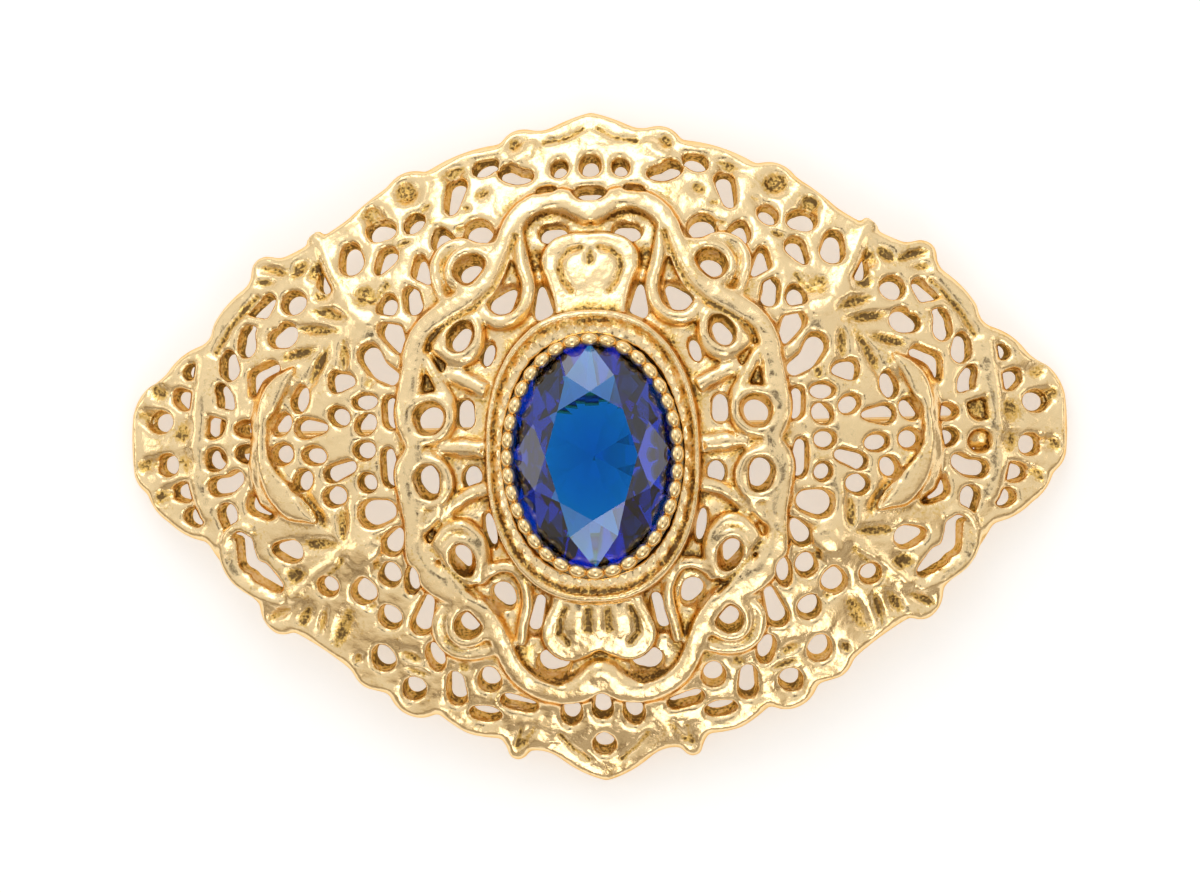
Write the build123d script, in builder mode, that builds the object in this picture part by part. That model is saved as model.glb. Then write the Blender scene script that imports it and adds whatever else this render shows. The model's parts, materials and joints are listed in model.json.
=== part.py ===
"""Openwork brooch with one oval blue stone.

A domed plate of cast gold-coloured metal carries a raised strapwork cartouche and an oval collet.
A beaded cup holds the faceted stone. A straight pin is hinged behind the right tip and lies in an
open catch behind the left tip. The brooch lies face up on the tips of its rim, with X along its
length, Y across it and Z up through the stone. The origin is in the middle of its footprint.
"""
from build123d import *
import os
from math import asin, atan2, cos, degrees, pi, radians, sin, sqrt

os.makedirs("parts", exist_ok=True)

# Overall sizes in millimetres
LENGTH = 74.8
WIDTH = 53.4
DOME_RISE = 8.0
PLATE = 1.8
RELIEF = 0.8
CUT_MARGIN = 0.6
SHELL_REACH = 1.13
SHORTEST_LEG = 0.06
ELBOW_STEP = 0.03
PLUGS_AT_ONCE = 9

# Stone, cut as an oval brilliant
STONE_LENGTH = 17.9
STONE_WIDTH = 12.9
GIRDLE = 0.4
CROWN = 1.7
PAVILION = 4.3
TABLE_RATIO = 0.57
STAR_RATIO = 0.77
LOWER_RATIO = 0.3
FACETS_ROUND = 8

# Cup round the stone, and the collet round the cup
SETTING_Y = -0.75
FIT = 0.05
CUP_WALL = 0.7
CUP_LEDGE = 0.4
CUP_BELOW_PLATE = 1.4
SEAT_DEPTH = 0.95
GIRDLE_ABOVE_SEAT = 0.4
BEAD_COUNT = 36
BEAD_RADIUS = 0.5
BEAD_LIFT = 0.35
BEAD_OUTSIDE_STONE = 0.3
COVE_SIDES = 0.45
COVE_ENDS = 1.05
COLLET_RIM = 0.8
COLLET_ABOVE_PLATE = 1.1
SHELF_ABOVE_PLATE = 0.1
COLLET_BELOW_PLATE = 1.1
COLLET_FULLNESS = 2.3
COLLET_POINTS = 24

# Pin, hinge and catch
PIN_DIAMETER = 1.0
PIN_Y = 1.3
PIN_Z = 1.25
HINGE_FROM_TIP = 7.1
CATCH_FROM_TIP = 8.8
PIN_PAST_CATCH = 2.8
RIVET_DIAMETER = 0.9
RIVET_PLAY = 0.03
EYE_DIAMETER = 1.9
EYE_WIDTH = 1.2
LUG_THICKNESS = 0.7
LUG_LENGTH = 2.2
SIDE_PLAY = 0.1
CATCH_LENGTH = 1.6
CATCH_WALL = 0.6
CATCH_PLAY = 0.12
CATCH_BOTTOM = 0.45
HINGE_PAD_LENGTH = 5.2
CATCH_PAD_LENGTH = 2.8
PAD_WIDTH = 3.6
PAD_THICKNESS = 0.3
PAD_CORNER = 0.6
RIVET_SEAT = 0.02
PIN_POINT = 2.0
PIN_BLUNT = 0.25

# The tables below are millimetres on a drawing of this size, and stretch with the brooch
DRAWN_LENGTH = 74.8
DRAWN_WIDTH = 53.4

# Rim of the left half from the bottom tip round to the top tip: x, y, and how far the
# stretch that ends there swells outward
RIM = [
    (0.0, -26.7, 0.0),
    (-3.75, -24.7, 0.25),
    (-6.15, -24.15, -0.25),
    (-7.6, -24.6, 0.45),
    (-8.3, -23.05, -0.1),
    (-10.9, -22.65, 0.1),
    (-13.3, -20.9, 0.1),
    (-15.3, -21.2, 0.25),
    (-17.1, -19.3, 0.35),
    (-18.85, -18.85, 0.0),
    (-20.0, -17.4, 0.2),
    (-24.65, -14.15, -0.15),
    (-26.2, -14.2, 0.25),
    (-27.25, -11.9, 0.35),
    (-31.4, -6.85, 0.3),
    (-34.5, -5.25, 0.3),
    (-36.2, -2.9, 0.3),
    (-37.3, -1.2, 0.25),
    (-37.3, 3.2, 0.1),
    (-35.9, 5.65, 0.25),
    (-34.4, 6.65, -0.1),
    (-31.4, 8.85, 0.35),
    (-30.55, 10.4, -0.25),
    (-27.7, 13.45, 0.25),
    (-27.35, 14.25, 0.0),
    (-25.85, 15.8, 0.6),
    (-24.8, 15.65, -0.05),
    (-19.55, 18.55, -0.15),
    (-16.3, 21.1, 0.1),
    (-13.2, 22.2, 0.6),
    (-7.2, 24.3, 0.4),
    (-4.8, 25.4, 0.5),
    (-3.2, 25.5, -0.15),
    (0.0, 26.7, 0.1),
]

# Gaps of the left half: x, y, length, width, the way the narrow end points in degrees, the
# narrow end's width as a share of the wide end's, and the angle at a bend (180 is straight)
UPPER_GAPS = [
    (-33.2, 4.65, 2.3, 1.75, 150, 0.8, 180),
    (-30.65, 2.35, 2.25, 2.1, 0, 0.9, 180),
    (-29.6, 4.55, 3.4, 1.75, 120, 0.65, 150),
    (-29.3, 7.3, 2.65, 1.8, 100, 0.8, 180),
    (-27.1, 6.25, 4.4, 1.5, -87, 0.9, 109),
    (-27.8, 9.15, 2.7, 1.7, 90, 0.8, 180),
    (-26.5, 11.6, 3.3, 1.85, 55, 0.7, 180),
    (-23.85, 12.1, 2.2, 2.1, 0, 0.9, 180),
    (-25.0, 9.4, 2.7, 2.2, 200, 0.7, 180),
    (-21.3, 14.6, 3.6, 1.85, 100, 0.5, 180),
    (-19.25, 15.6, 2.9, 2.1, 100, 0.8, 180),
    (-16.6, 15.05, 2.7, 1.75, 240, 0.5, 180),
    (-20.3, 5.7, 2.65, 2.3, 135, 0.55, 180),
    (-22.4, 2.05, 3.0, 1.8, 0, 0.5, 180),
    (-16.15, 3.2, 2.9, 1.55, 100, 0.8, 180),
    (-17.2, 6.6, 4.4, 2.0, -30, 0.8, 150),
    (-15.7, 9.0, 3.2, 2.0, -60, 0.6, 180),
    (-13.0, 2.55, 2.5, 2.3, 45, 0.9, 180),
    (-16.7, 17.7, 2.6, 2.1, 0, 0.8, 180),
    (-10.9, 20.2, 3.5, 1.7, 260, 0.7, 180),
    (-11.9, 17.0, 2.4, 2.0, 110, 0.5, 180),
    (-8.8, 17.3, 2.5, 2.4, 0, 0.8, 180),
    (-5.9, 21.75, 3.1, 1.7, 0, 0.8, 150),
    (-13.6, 14.5, 3.2, 1.9, 95, 0.45, 180),
    (-9.6, 14.3, 2.3, 1.9, 35, 0.9, 180),
    (-14.3, 12.1, 2.6, 1.6, 105, 0.8, 180),
    (-10.4, 9.0, 2.5, 1.8, 60, 0.8, 180),
    (-6.75, 12.1, 3.1, 2.2, 50, 0.5, 180),
    (-3.9, 11.9, 3.5, 1.9, 95, 0.5, 180),
    (-2.9, 17.2, 2.6, 1.8, 10, 0.9, 180),
    (-10.2, 2.9, 2.7, 1.7, 90, 0.9, 180),
]
LOWER_GAPS = [
    (-33.3, -2.85, 2.4, 1.8, 180, 0.8, 180),
    (-30.55, -0.3, 2.15, 2.0, 0, 0.9, 180),
    (-29.6, -2.4, 3.5, 1.65, 35, 0.9, 150),
    (-29.55, -5.35, 2.95, 1.75, -80, 0.7, 180),
    (-27.4, -4.1, 4.3, 1.65, -21, 0.9, 90),
    (-28.25, -7.7, 3.4, 1.7, 95, 0.8, 180),
    (-26.45, -10.0, 3.2, 1.8, -42, 0.6, 180),
    (-25.1, -7.7, 2.8, 2.0, 170, 0.55, 180),
    (-18.75, -10.8, 2.4, 2.2, 90, 0.4, 180),
    (-16.6, -9.75, 2.1, 1.95, 90, 0.9, 180),
    (-16.8, -13.1, 2.2, 2.0, 120, 0.8, 180),
    (-13.9, -12.9, 3.7, 1.8, 70, 0.6, 180),
    (-16.1, -7.05, 2.6, 1.8, 55, 0.7, 180),
    (-17.3, -4.85, 3.2, 2.4, 10, 0.8, 180),
    (-20.3, -1.4, 3.0, 1.55, 20, 0.8, 180),
    (-16.35, -1.2, 3.4, 1.5, 97, 0.8, 180),
    (-13.1, -2.5, 2.7, 2.3, -75, 0.8, 180),
    (-17.45, -16.4, 2.4, 2.1, 100, 0.8, 180),
    (-15.1, -19.1, 2.2, 2.0, -120, 0.8, 180),
    (-11.65, -19.0, 3.1, 1.7, 90, 0.8, 180),
    (-8.95, -18.3, 2.3, 2.0, 90, 0.8, 180),
    (-6.55, -20.4, 3.2, 1.4, -18, 0.8, 180),
    (-10.6, -8.8, 2.5, 1.8, -70, 0.5, 180),
    (-7.4, -11.9, 2.6, 2.1, -60, 0.75, 180),
    (-4.9, -13.3, 3.6, 1.4, 75, 0.8, 180),
    (-10.3, -13.85, 2.3, 2.0, 45, 0.9, 180),
    (-3.65, -17.2, 2.9, 2.4, 0, 0.9, 180),
]
MIDDLE_GAPS = [
    (0.0, 22.55, 2.2, 1.8, 90, 0.9, 180),
    (0.0, 20.1, 2.8, 1.6, 0, 1.0, 180),
    (0.0, -20.5, 2.7, 1.75, 90, 0.7, 180),
    (0.0, -23.6, 2.2, 2.0, 90, 0.6, 180),
]

# Strapwork of the cartouche, left half: points along its middle line
STRAP_WIDTH = 1.5
UPPER_STRAP = [
    (0.0, 18.6), (-3.15, 19.8), (-5.7, 18.5), (-7.1, 15.3), (-8.9, 12.15), (-11.4, 11.1),
    (-13.7, 9.2), (-14.4, 6.4), (-14.9, 3.6), (-14.2, 0.7),
]
LOWER_STRAP = [
    (-14.2, -0.3), (-15.0, -2.6), (-14.5, -5.6), (-14.5, -8.2), (-12.9, -10.8),
    (-9.5, -12.6), (-7.9, -15.2), (-6.5, -18.0), (-3.7, -19.6), (0.0, -18.6),
]

# Scroll loops beside the straps: middle, outer length and width, turn in degrees
LOOP_WIDTH = 0.7
LOOPS = [
    (-13.0, 2.55, 4.2, 4.0, 45),
    (-13.1, -2.5, 4.3, 3.9, -75),
    (-9.6, 14.3, 4.2, 3.8, 35),
    (-10.4, 9.0, 4.2, 3.5, 60),
    (-10.6, -8.8, 4.2, 3.4, -70),
    (-10.3, -13.85, 4.0, 3.6, 45),
]

# Bosses of the left half: middle, length, width, turn in degrees
BOSSES = [
    (-18.9, 11.3, 4.4, 2.0, -35),
    (-18.4, -7.9, 3.2, 1.8, 35),
    (-5.3, 23.6, 2.6, 1.2, 35),
    (-5.6, -23.1, 2.6, 1.2, -35),
]

CRESCENT_OUTER = [(-23.7, 6.9), (-26.7, 4.3), (-27.0, 1.1), (-26.85, -1.6), (-24.6, -5.2)]
CRESCENT_INNER = [(-22.2, -5.6), (-24.7, -2.3), (-25.9, -0.6), (-26.2, 1.0), (-25.6, 3.1)]

# The drawn tables at the brooch's own size
stretch_x = LENGTH / DRAWN_LENGTH
stretch_y = WIDTH / DRAWN_WIDTH
gap_stretch = min(stretch_x, stretch_y)


def stretched(points):
    """Drawn points moved to their places on the brooch."""
    return [(x * stretch_x, y * stretch_y) for x, y in points]


rim_rows = [(x * stretch_x, y * stretch_y, swell) for x, y, swell in RIM]

# Shape of the dome: one radius along the brooch and one across it, both for the top face
long_radius = ((LENGTH / 2) ** 2 + DOME_RISE**2) / (2 * DOME_RISE) + PLATE
cross_radius = ((WIDTH / 2) ** 2 + DOME_RISE**2) / (2 * DOME_RISE) + PLATE


def height_above_axis(x, y, offset):
    """Height over the long axis of the dome's bend, at an offset from the top face."""
    reach = long_radius - cross_radius + sqrt((cross_radius + offset) ** 2 - y * y)
    return sqrt(reach * reach - x * x)


# The lowest corner of the rim lies on the floor
axis_z = -min(height_above_axis(x, y, -PLATE) for x, y, swell in rim_rows)

# Heights that follow from the dome
apex = axis_z + long_radius
underside = apex - PLATE
collet_top = apex + COLLET_ABOVE_PLATE
collet_shelf = apex + SHELF_ABOVE_PLATE
collet_bottom = underside - COLLET_BELOW_PLATE
cup_bottom = underside - CUP_BELOW_PLATE
cup_seat = collet_top - SEAT_DEPTH
girdle_low = cup_seat + GIRDLE_ABOVE_SEAT
girdle_high = girdle_low + GIRDLE
table_height = girdle_high + CROWN
culet_height = girdle_low - PAVILION

# Ovals that follow from the stone
cup_length = STONE_LENGTH + 2 * (FIT + CUP_WALL)
cup_width = STONE_WIDTH + 2 * (FIT + CUP_WALL)
shelf_length = cup_length + 2 * (FIT + COVE_ENDS)
shelf_width = cup_width + 2 * (FIT + COVE_SIDES)
collet_length = shelf_length + 2 * COLLET_RIM
collet_width = shelf_width + 2 * COLLET_RIM

# Places along the pin
hinge_x = LENGTH / 2 - HINGE_FROM_TIP
catch_x = CATCH_FROM_TIP - LENGTH / 2
pin_tip_x = catch_x - PIN_PAST_CATCH


def dome_plane(x, y):
    """Plane that touches the dome's top face above a point, its x axis along the brooch."""
    height = height_above_axis(x, y, 0)
    lean_x = atan2(x, height)
    lean_y = asin(y / cross_radius)
    normal = (cos(lean_y) * sin(lean_x), sin(lean_y), cos(lean_y) * cos(lean_x))
    along = (cos(lean_x), 0, -sin(lean_x))
    return Plane(origin=(x, y, axis_z + height), x_dir=along, z_dir=normal)


def dome_shell(low, high):
    """Solid dome between two offsets from the top face of the plate."""
    side = long_radius - cross_radius
    half_turn = degrees(asin(SHELL_REACH * WIDTH / 2 / cross_radius))
    with BuildPart() as shell:
        with BuildSketch(Plane.XY.offset(axis_z)):
            with BuildLine():
                outer = CenterArc((side, 0), cross_radius + high, -half_turn, 2 * half_turn)
                inner = CenterArc((side, 0), cross_radius + low, -half_turn, 2 * half_turn)
                Line(outer @ 0, inner @ 0)
                Line(outer @ 1, inner @ 1)
            make_face()
        revolve(axis=Axis((0, 0, axis_z), (0, -1, 0)), revolution_arc=180)
    return shell.part


def swollen_edge(start, end, swell):
    """Arc between two points that swells to the left by a given amount."""
    if swell == 0:
        return Line(start, end)
    chord = Vector(*end) - Vector(*start)
    left = Vector(-chord.Y, chord.X).normalized()
    middle = (Vector(*start) + Vector(*end)) * 0.5 + left * swell
    return ThreePointArc(start, middle, end)


def egg_outline(head, head_radius, tail, tail_radius):
    """Lines of the outline round two circles, the outer tangents joining them."""
    line = Vector(*tail) - Vector(*head)
    spacing = line.length
    heading = atan2(line.Y, line.X)
    open_angle = pi / 2 - asin((head_radius - tail_radius) / spacing)

    def on_circle(middle, radius, angle):
        return (middle[0] + radius * cos(angle), middle[1] + radius * sin(angle))

    head_left = on_circle(head, head_radius, heading + open_angle)
    head_right = on_circle(head, head_radius, heading - open_angle)
    tail_left = on_circle(tail, tail_radius, heading + open_angle)
    tail_right = on_circle(tail, tail_radius, heading - open_angle)
    ThreePointArc(head_left, on_circle(head, head_radius, heading + pi), head_right)
    Line(head_right, tail_right)
    ThreePointArc(tail_right, on_circle(tail, tail_radius, heading), tail_left)
    Line(tail_left, head_left)


def gap_cutter(x, y, length, width, turn, taper, bend):
    """Plug for one gap, square to the dome and narrower at one end."""
    lift = RELIEF + CUT_MARGIN
    top = dome_plane(x * stretch_x, y * stretch_y).offset(lift)
    head_radius = width * gap_stretch / 2
    tail_radius = head_radius * taper
    half_length = length * gap_stretch / 2
    leg = max(half_length - (head_radius + tail_radius) / 2, SHORTEST_LEG)
    tail = (leg * cos(radians(turn)), leg * sin(radians(turn)))
    head = (leg * cos(radians(turn + bend)), leg * sin(radians(turn + bend)))
    with BuildPart() as plug:
        with BuildSketch(top):
            if bend == 180:
                with BuildLine():
                    egg_outline(head, head_radius, tail, tail_radius)
                make_face()
            else:
                elbow_radius = (head_radius + tail_radius) / 2
                with BuildLine():
                    egg_outline(head, head_radius, (0, 0), elbow_radius - ELBOW_STEP)
                make_face()
                with BuildLine():
                    egg_outline((0, 0), elbow_radius, tail, tail_radius - ELBOW_STEP)
                make_face()
        extrude(amount=-(lift + PLATE + CUT_MARGIN))
    return plug.part


def cut_in_batches(body, plugs):
    """Cut many plugs from a body, a few at a time."""
    for first in range(0, len(plugs), PLUGS_AT_ONCE):
        body = body.cut(*plugs[first:first + PLUGS_AT_ONCE])
    return body


def oval(length, width):
    """Closed smooth oval, a little fuller than an ellipse, its length along Y."""
    points = []
    for step in range(COLLET_POINTS):
        angle = 2 * pi * step / COLLET_POINTS
        reach_x = abs(cos(angle)) ** (2 / COLLET_FULLNESS)
        reach_y = abs(sin(angle)) ** (2 / COLLET_FULLNESS)
        across = width / 2 * reach_x * (1 if cos(angle) >= 0 else -1)
        along = length / 2 * reach_y * (1 if sin(angle) >= 0 else -1)
        points.append((across, along))
    return Spline(*points, periodic=True)


def soldered_pad(middle_x, length):
    """Thin pad under the dome that carries the hinge or the catch."""
    with BuildPart() as pad:
        with BuildSketch(Plane((middle_x, PIN_Y, 0))):
            RectangleRounded(length, PAD_WIDTH, PAD_CORNER)
        extrude(amount=collet_top)
        add(dome_shell(-PLATE - PAD_THICKNESS, -PLATE / 2), mode=Mode.INTERSECT)
    return pad.part


def hinge_lug(lug_y):
    """Upright ear under the pad, round at its lower end, with the rivet's hole."""
    with BuildPart() as lug:
        with BuildSketch(Plane(origin=(hinge_x, lug_y, PIN_Z), x_dir=(1, 0, 0), z_dir=(0, -1, 0))):
            Circle(LUG_LENGTH / 2)
            with Locations((0, LUG_LENGTH)):
                Rectangle(LUG_LENGTH, 2 * LUG_LENGTH)
        extrude(amount=LUG_THICKNESS / 2, both=True)
        add(dome_shell(-DOME_RISE, -PLATE - PAD_THICKNESS / 2), mode=Mode.INTERSECT)
        with BuildSketch(Plane(origin=(hinge_x, lug_y, PIN_Z), z_dir=(0, 1, 0))):
            Circle(RIVET_DIAMETER / 2 + RIVET_SEAT)
        extrude(amount=LUG_THICKNESS, both=True, mode=Mode.SUBTRACT)
    return lug.part


def open_catch():
    """Two cheeks and a roof round the pin, open downward so that the pin can leave."""
    slot = PIN_DIAMETER + 2 * CATCH_PLAY
    with BuildPart() as catch:
        with BuildSketch(Plane((catch_x, PIN_Y, CATCH_BOTTOM))):
            Rectangle(CATCH_LENGTH, slot + 2 * CATCH_WALL)
        extrude(amount=DOME_RISE)
        add(dome_shell(-DOME_RISE, -PLATE - PAD_THICKNESS / 2), mode=Mode.INTERSECT)
        with BuildSketch(Plane((catch_x, PIN_Y, 0))):
            Rectangle(CATCH_LENGTH, slot)
        extrude(amount=PIN_Z + PIN_DIAMETER / 2 + CATCH_PLAY, mode=Mode.SUBTRACT)
    return catch.part


# Plate, left half: the outline taken out of the dome, then its gaps
with BuildPart() as half_plate:
    with BuildSketch():
        with BuildLine():
            for (x0, y0, _), (x1, y1, swell) in zip(rim_rows, rim_rows[1:]):
                swollen_edge((x0, y0), (x1, y1), swell)
            Line((0, rim_rows[-1][1]), (0, rim_rows[0][1]))
        make_face()
    extrude(amount=collet_top)
    add(dome_shell(-PLATE, 0), mode=Mode.INTERSECT)

plugs = [gap_cutter(*row) for row in UPPER_GAPS + LOWER_GAPS]
pierced_half = cut_in_batches(half_plate.part, plugs)

# Raised work, left half: straps, scroll loops, bosses and crescents
with BuildPart() as half_relief:
    with BuildSketch() as relief_plan:
        for strap in (stretched(UPPER_STRAP), stretched(LOWER_STRAP)):
            with BuildLine():
                Spline(*strap)
            trace(line_width=STRAP_WIDTH)
            with Locations(strap[0], strap[-1]):
                Circle(STRAP_WIDTH / 2)
        for x, y, length, width, turn in LOOPS:
            with Locations(Location((x * stretch_x, y * stretch_y, 0), (0, 0, turn))):
                Ellipse(length / 2, width / 2)
        for x, y, length, width, turn in LOOPS:
            with Locations(Location((x * stretch_x, y * stretch_y, 0), (0, 0, turn))):
                Ellipse(length / 2 - LOOP_WIDTH, width / 2 - LOOP_WIDTH, mode=Mode.SUBTRACT)
        for x, y, length, width, turn in BOSSES:
            with Locations(Location((x * stretch_x, y * stretch_y, 0), (0, 0, turn))):
                Ellipse(length / 2, width / 2)
        with BuildLine():
            outer = Spline(*stretched(CRESCENT_OUTER))
            inner = Spline(*stretched(CRESCENT_INNER))
            Line(outer @ 1, inner @ 0)
            Line(inner @ 1, outer @ 0)
        make_face()
        with Locations((LENGTH / 2, 0)):
            Rectangle(LENGTH, WIDTH, mode=Mode.SUBTRACT)
    extrude(amount=collet_top)
    add(dome_shell(-PLATE / 2, RELIEF), mode=Mode.INTERSECT)

half = pierced_half + half_relief.part

# Filigree plate: both halves with the collet, the hinge lugs and the catch soldered on
with BuildPart() as filigree_plate:
    add(half)
    mirror(half, about=Plane.YZ)
    middle_plugs = [gap_cutter(*row) for row in MIDDLE_GAPS]
    add(middle_plugs, mode=Mode.SUBTRACT)

    with BuildSketch(Plane((0, SETTING_Y, collet_bottom))):
        with BuildLine():
            oval(collet_length, collet_width)
        make_face()
    extrude(amount=collet_shelf - collet_bottom)
    with BuildSketch(Plane((0, SETTING_Y, collet_shelf))):
        with BuildLine():
            oval(collet_length, collet_width)
        make_face()
        with BuildLine():
            oval(shelf_length, shelf_width)
        make_face(mode=Mode.SUBTRACT)
    extrude(amount=collet_top - collet_shelf)
    with BuildSketch(Plane((0, SETTING_Y, collet_top))):
        Ellipse(cup_width / 2 + FIT, cup_length / 2 + FIT)
    extrude(amount=-collet_top, mode=Mode.SUBTRACT)

    add(soldered_pad(hinge_x, HINGE_PAD_LENGTH))
    add(soldered_pad(catch_x, CATCH_PAD_LENGTH))
    for side in (-1, 1):
        lug_y = PIN_Y + side * (EYE_WIDTH / 2 + SIDE_PLAY + LUG_THICKNESS / 2)
        add(hinge_lug(lug_y))
    add(open_catch())

# Cup that holds the stone: an open oval ring with a seat inside and beads along its top edge
cup_plane = Plane((0, SETTING_Y, cup_bottom))
with BuildPart() as stone_setting:
    with BuildSketch(cup_plane):
        Ellipse(cup_width / 2, cup_length / 2)
    extrude(amount=collet_top - cup_bottom)
    with BuildSketch(cup_plane):
        Ellipse(cup_width / 2 - CUP_WALL - CUP_LEDGE, cup_length / 2 - CUP_WALL - CUP_LEDGE)
    extrude(amount=collet_top - cup_bottom, mode=Mode.SUBTRACT)
    with BuildSketch(Plane((0, SETTING_Y, collet_top))):
        Ellipse(STONE_WIDTH / 2 + FIT, STONE_LENGTH / 2 + FIT)
    extrude(amount=-(collet_top - cup_seat), mode=Mode.SUBTRACT)
    bead_line = Edge.make_ellipse(
        STONE_WIDTH / 2 + BEAD_OUTSIDE_STONE, STONE_LENGTH / 2 + BEAD_OUTSIDE_STONE
    )
    bead_spots = [bead_line @ (step / BEAD_COUNT) for step in range(BEAD_COUNT)]
    with Locations(Plane((0, SETTING_Y, collet_top + BEAD_LIFT))):
        with Locations(*bead_spots):
            Sphere(BEAD_RADIUS)

# Stone: an oval brilliant cut out of an oval prism, one flat cut for each facet
facet_turn = 2 * pi / FACETS_ROUND


def stone_point(angle, share, height):
    """Point of the stone at a share of the girdle's radius, measured from the stone's middle."""
    across = STONE_WIDTH / 2 * share * cos(angle)
    along = STONE_LENGTH / 2 * share * sin(angle)
    return Vector(across, SETTING_Y + along, height)


def facet_plane(first, second, third):
    """Plane through three points that faces away from the stone's middle."""
    normal = (second - first).cross(third - first).normalized()
    middle = Vector(0, SETTING_Y, girdle_low)
    if normal.dot(first - middle) < 0:
        normal = normal * -1
    return Plane(origin=first, z_dir=normal)


def fan_of_facets(tip_share, tip_height, girdle_height):
    """The eight main facets that run from a point near the middle to the girdle."""
    planes = []
    for step in range(FACETS_ROUND):
        angle = step * facet_turn
        tip = stone_point(angle, tip_share, tip_height)
        edge = stone_point(angle, 1, girdle_height)
        beside = stone_point(angle + pi / 2, 1, 0) - stone_point(angle, 0, 0)
        planes.append(facet_plane(tip, edge, edge + beside))
    return planes


def girdle_facets(tip_share, tip_height, girdle_height):
    """The sixteen small facets along the girdle, two between each pair of main facets."""
    planes = []
    for step in range(FACETS_ROUND):
        middle = (step + 0.5) * facet_turn
        tip = stone_point(middle, tip_share, tip_height)
        edge = stone_point(middle, 1, girdle_height)
        for side in (-0.5, 0.5):
            corner = stone_point(middle + side * facet_turn, 1, girdle_height)
            planes.append(facet_plane(tip, edge, corner))
    return planes


half_turn_cos = cos(facet_turn / 2)
crown_fall = (STAR_RATIO * half_turn_cos - TABLE_RATIO) / (1 - TABLE_RATIO)
star_height = table_height - CROWN * crown_fall
lower_height = culet_height + PAVILION * LOWER_RATIO * half_turn_cos
facets = fan_of_facets(TABLE_RATIO, table_height, girdle_high)
facets += girdle_facets(STAR_RATIO, star_height, girdle_high)
facets += fan_of_facets(0, culet_height, girdle_low)
facets += girdle_facets(LOWER_RATIO, lower_height, girdle_low)
for step in range(FACETS_ROUND):
    star_tip = stone_point((step + 0.5) * facet_turn, STAR_RATIO, star_height)
    left_corner = stone_point(step * facet_turn, TABLE_RATIO, table_height)
    right_corner = stone_point((step + 1) * facet_turn, TABLE_RATIO, table_height)
    facets.append(facet_plane(star_tip, left_corner, right_corner))

with BuildPart() as stone:
    with BuildSketch(Plane((0, SETTING_Y, culet_height))):
        Ellipse(STONE_WIDTH / 2, STONE_LENGTH / 2)
    extrude(amount=table_height - culet_height)
    for facet in facets:
        split(bisect_by=facet, keep=Keep.BOTTOM)

# Pin: a straight wire with an eye at the hinge and a point beyond the catch
eye_plane = Plane(origin=(hinge_x, PIN_Y, PIN_Z), z_dir=(0, 1, 0))
wire_start = hinge_x - RIVET_DIAMETER / 2 - RIVET_PLAY
with BuildPart() as pin_stem:
    with BuildSketch(Plane(origin=(wire_start, PIN_Y, PIN_Z), z_dir=(-1, 0, 0))):
        Circle(PIN_DIAMETER / 2)
    extrude(amount=wire_start - pin_tip_x - PIN_POINT)
    point_end = Plane(origin=(pin_tip_x, PIN_Y, PIN_Z), z_dir=(-1, 0, 0))
    with BuildSketch(point_end.offset(-PIN_POINT)):
        Circle(PIN_DIAMETER / 2)
    with BuildSketch(point_end):
        Circle(PIN_BLUNT / 2)
    loft()
    with BuildSketch(eye_plane):
        Circle(EYE_DIAMETER / 2)
    extrude(amount=EYE_WIDTH / 2, both=True)
    with BuildSketch(eye_plane):
        Circle(RIVET_DIAMETER / 2 + RIVET_PLAY)
    extrude(amount=EYE_WIDTH, both=True, mode=Mode.SUBTRACT)

# Rivet through both lugs and the eye
rivet_length = EYE_WIDTH + 2 * (SIDE_PLAY + LUG_THICKNESS)
with BuildPart() as hinge_rivet:
    with BuildSketch(eye_plane):
        Circle(RIVET_DIAMETER / 2)
    extrude(amount=rivet_length / 2, both=True)

filigree_plate.part.label = "filigree_plate"
export_step(filigree_plate.part, "parts/filigree_plate.step")
stone_setting.part.label = "stone_setting"
export_step(stone_setting.part, "parts/stone_setting.step")
stone.part.label = "stone"
export_step(stone.part, "parts/stone.step")
pin_stem.part.label = "pin_stem"
export_step(pin_stem.part, "parts/pin_stem.step")
hinge_rivet.part.label = "hinge_rivet"
export_step(hinge_rivet.part, "parts/hinge_rivet.step")
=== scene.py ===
import json
from math import asin, atan2, cos, pi, radians, sin, sqrt

import bpy
import numpy
from mathutils import Matrix, Vector

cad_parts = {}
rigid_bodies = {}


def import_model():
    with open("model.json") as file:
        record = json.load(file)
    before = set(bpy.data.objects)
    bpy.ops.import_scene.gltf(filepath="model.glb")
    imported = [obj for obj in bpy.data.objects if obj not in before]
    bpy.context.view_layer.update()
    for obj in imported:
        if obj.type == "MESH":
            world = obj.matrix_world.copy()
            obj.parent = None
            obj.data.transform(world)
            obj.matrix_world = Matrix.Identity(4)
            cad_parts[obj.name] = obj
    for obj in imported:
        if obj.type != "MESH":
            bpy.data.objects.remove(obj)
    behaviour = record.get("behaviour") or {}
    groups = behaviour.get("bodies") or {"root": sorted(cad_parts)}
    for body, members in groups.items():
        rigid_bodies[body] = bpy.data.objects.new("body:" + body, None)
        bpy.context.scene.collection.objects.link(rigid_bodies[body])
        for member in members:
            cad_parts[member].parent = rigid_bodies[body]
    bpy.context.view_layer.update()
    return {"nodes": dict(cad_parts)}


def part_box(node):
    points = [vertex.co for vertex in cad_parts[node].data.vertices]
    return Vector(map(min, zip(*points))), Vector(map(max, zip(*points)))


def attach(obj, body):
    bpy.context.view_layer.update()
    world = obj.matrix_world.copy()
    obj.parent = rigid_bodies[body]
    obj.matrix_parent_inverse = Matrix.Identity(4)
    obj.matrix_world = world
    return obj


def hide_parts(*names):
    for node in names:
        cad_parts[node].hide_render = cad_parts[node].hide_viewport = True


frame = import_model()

# Pierced plate
# The openwork is one casting of white metal, domed and pierced in the mould and plated with
# gold. Tumbling has rounded the bars between its gaps.
nodes = frame["nodes"]
MM = 0.001
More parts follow.
